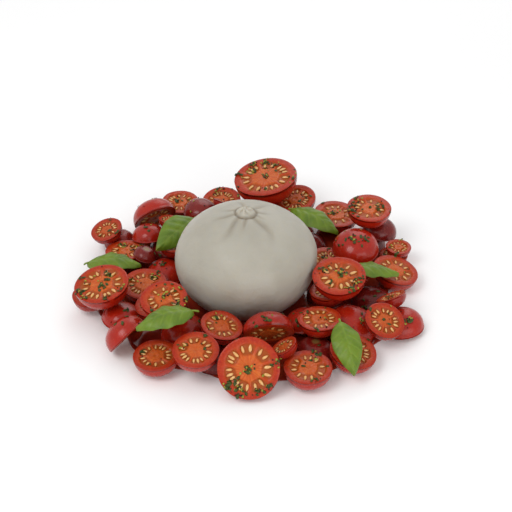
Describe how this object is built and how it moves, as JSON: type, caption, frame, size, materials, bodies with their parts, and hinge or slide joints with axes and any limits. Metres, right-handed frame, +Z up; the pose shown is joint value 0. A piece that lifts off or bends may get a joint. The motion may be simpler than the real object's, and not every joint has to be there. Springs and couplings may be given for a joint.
{
  "type": "caprese salad",
  "caption": "A whole burrata with a gathered top in a low round bed of halved cherry tomatoes, with larger halves and fresh basil leaves on top, chopped herbs, pepper and tomato juice.",
  "frame": {"origin": "the middle of the salad's footprint, on the surface it lies on", "axes": "+Z is up, -Y is the front where the large half stands with its cut face forward, +X is to the right"},
  "size_m": [0.1988, 0.1998, 0.0575],
  "materials": {
    "burrata": "moist fresh cheese skin, soft sheen",
    "tomato": "glossy tomato skin and wet cut flesh",
    "basil": "satin leaf",
    "herbs": "chopped herb, damp",
    "pepper": "coarsely ground pepper",
    "juice": "wet tomato juice"
  },
  "bodies": {
    "root": {"basil_leaf_1": "basil", "basil_leaf_2": "basil", "basil_leaf_3": "basil", "basil_leaf_4": "basil", "basil_leaf_5": "basil", "basil_leaf_under": "basil", "bed_half_01": "tomato", "bed_half_02": "tomato", "bed_half_03": "tomato", "bed_half_04": "tomato", "bed_half_05": "tomato", "bed_half_06": "tomato", "bed_half_07": "tomato", "bed_half_08": "tomato", "bed_half_09": "tomato", "bed_half_10": "tomato", "bed_half_11": "tomato", "bed_half_12": "tomato", "bed_half_13": "tomato", "bed_half_14": "tomato", "bed_half_15": "tomato", "bed_half_16": "tomato", "bed_half_17": "tomato", "bed_half_18": "tomato", "bed_half_19": "tomato", "bed_half_20": "tomato", "bed_half_21": "tomato", "bed_half_22": "tomato", "burrata": "burrata", "small_half_01": "tomato", "small_half_02": "tomato", "small_half_03": "tomato", "small_half_04": "tomato", "small_half_05": "tomato", "small_half_06": "tomato", "small_half_07": "tomato", "small_half_08": "tomato", "small_half_09": "tomato", "small_half_10": "tomato", "small_half_11": "tomato", "top_half_back": "tomato", "top_half_centre_left": "tomato", "top_half_front": "tomato", "top_half_left": "tomato", "top_half_right": "tomato", "top_half_right_back": "tomato", "under_half_01": "tomato", "under_half_02": "tomato", "under_half_03": "tomato", "under_half_04": "tomato", "under_half_05": "tomato", "under_half_06": "tomato", "under_half_07": "tomato", "under_half_08": "tomato", "under_half_09": "tomato", "under_half_10": "tomato", "under_half_11": "tomato", "under_half_12": "tomato", "under_half_13": "tomato", "under_half_14": "tomato"}
  },
  "joints": []
}
